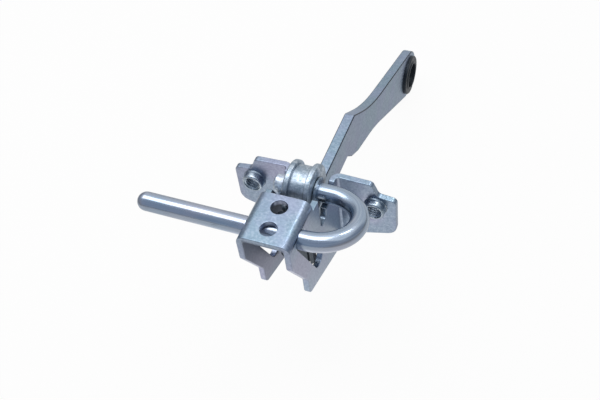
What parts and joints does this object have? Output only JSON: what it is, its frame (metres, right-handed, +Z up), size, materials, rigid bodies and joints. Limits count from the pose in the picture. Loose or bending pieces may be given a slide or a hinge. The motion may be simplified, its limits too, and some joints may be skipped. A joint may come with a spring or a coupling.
{
  "type": "door limiter strap",
  "caption": "Vehicle door limiter: a profiled check arm with a bushed eye runs between a sprung grooved roller and a support roller in a folded bracket with threaded ears.",
  "frame": {"origin": "midway between the two bolt axes, on the rear face of the ears, which seats on the door", "axes": "+X from the long leg's plain end towards the rod's loop, +Y out of the door towards the eye, +Z up through the top plate"},
  "size_m": [0.1081, 0.2196, 0.099],
  "materials": {
    "zinc_sheet": "blue zinc plate on sheet steel",
    "zinc_arm": "blue zinc plate on blanked steel",
    "zinc_rod": "bright zinc plate on spring steel",
    "zinc_roller": "bright zinc plate on turned steel",
    "zinc_turned": "zinc plate on turned steel",
    "black_bush": "moulded black polyamide"
  },
  "bodies": {
    "bracket": {"bracket": "zinc_sheet", "threaded_bush_left": "zinc_turned", "threaded_bush_right": "zinc_turned", "support_pin": "zinc_turned"},
    "spring_rod": {"spring_rod": "zinc_rod", "push_on_washer": "zinc_turned", "thrust_washer": "zinc_turned"},
    "roller": {"roller": "zinc_roller", "roller_flange_left": "zinc_roller", "roller_flange_right": "zinc_roller"},
    "support_roller": {"support_roller": "zinc_turned"},
    "check_arm": {"arm_run": "zinc_arm", "check_arm": "zinc_arm", "stop_plate": "black_bush", "eye_bush": "black_bush"}
  },
  "joints": [
    {"name": "arm_slide", "type": "slide", "parent": "bracket", "child": "check_arm", "axis": [0, -1, 0], "range_m": [0, 0.046]},
    {"name": "rod_twist", "type": "hinge", "parent": "bracket", "child": "spring_rod", "pos_m": [0, -0.0472, 0.0226], "axis": [1, 0, 0], "range_deg": [0, 10], "stiffness_Nm_per_rad": 4, "springref_deg": -11.46},
    {"name": "roller_spin", "type": "hinge", "parent": "spring_rod", "child": "roller", "pos_m": [0, -0.0134, 0.0142], "axis": [1, 0, 0], "continuous": true},
    {"name": "support_spin", "type": "hinge", "parent": "bracket", "child": "support_roller", "pos_m": [0, -0.0134, -0.021], "axis": [1, 0, 0], "continuous": true}
  ]
}
